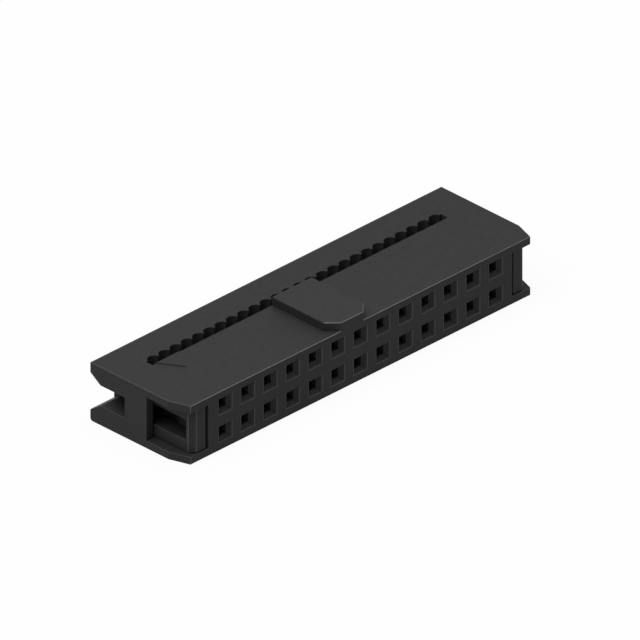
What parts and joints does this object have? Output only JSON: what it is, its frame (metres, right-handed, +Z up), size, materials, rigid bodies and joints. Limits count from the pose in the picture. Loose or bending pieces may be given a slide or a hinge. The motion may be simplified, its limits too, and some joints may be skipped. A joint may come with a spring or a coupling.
{
  "type": "idc socket connector",
  "caption": "Rectangular ribbon-cable socket with rows of square funnel pin entries, a raised key, a ribbed cable slot and a press-on cover held by a latch arm at each end.",
  "frame": {"origin": "centre of the bounding box at the underside", "axes": "+X along the rows of pins, away from wire 1; -Y out of the mating face; +Z up, through the side with the key"},
  "size_m": [0.0396, 0.0108, 0.0062],
  "materials": {
    "housing_plastic": "fine matt moulded black",
    "cover_plastic": "fine matt moulded black",
    "contact_metal": "smooth plated phosphor bronze"
  },
  "bodies": {
    "socket": {"housing": "housing_plastic", "contact_01": "contact_metal", "contact_02": "contact_metal", "contact_03": "contact_metal", "contact_04": "contact_metal", "contact_05": "contact_metal", "contact_06": "contact_metal", "contact_07": "contact_metal", "contact_08": "contact_metal", "contact_09": "contact_metal", "contact_10": "contact_metal", "contact_11": "contact_metal", "contact_12": "contact_metal", "contact_13": "contact_metal", "contact_14": "contact_metal", "contact_15": "contact_metal", "contact_16": "contact_metal", "contact_17": "contact_metal", "contact_18": "contact_metal", "contact_19": "contact_metal", "contact_20": "contact_metal", "contact_21": "contact_metal", "contact_22": "contact_metal", "contact_23": "contact_metal", "contact_24": "contact_metal", "contact_25": "contact_metal", "contact_26": "contact_metal"},
    "cover": {"cover": "cover_plastic"}
  },
  "joints": [
    {"name": "cover_slide", "type": "slide", "parent": "socket", "child": "cover", "axis": [0, 1, 0], "range_m": [0, 0.0012]}
  ]
}
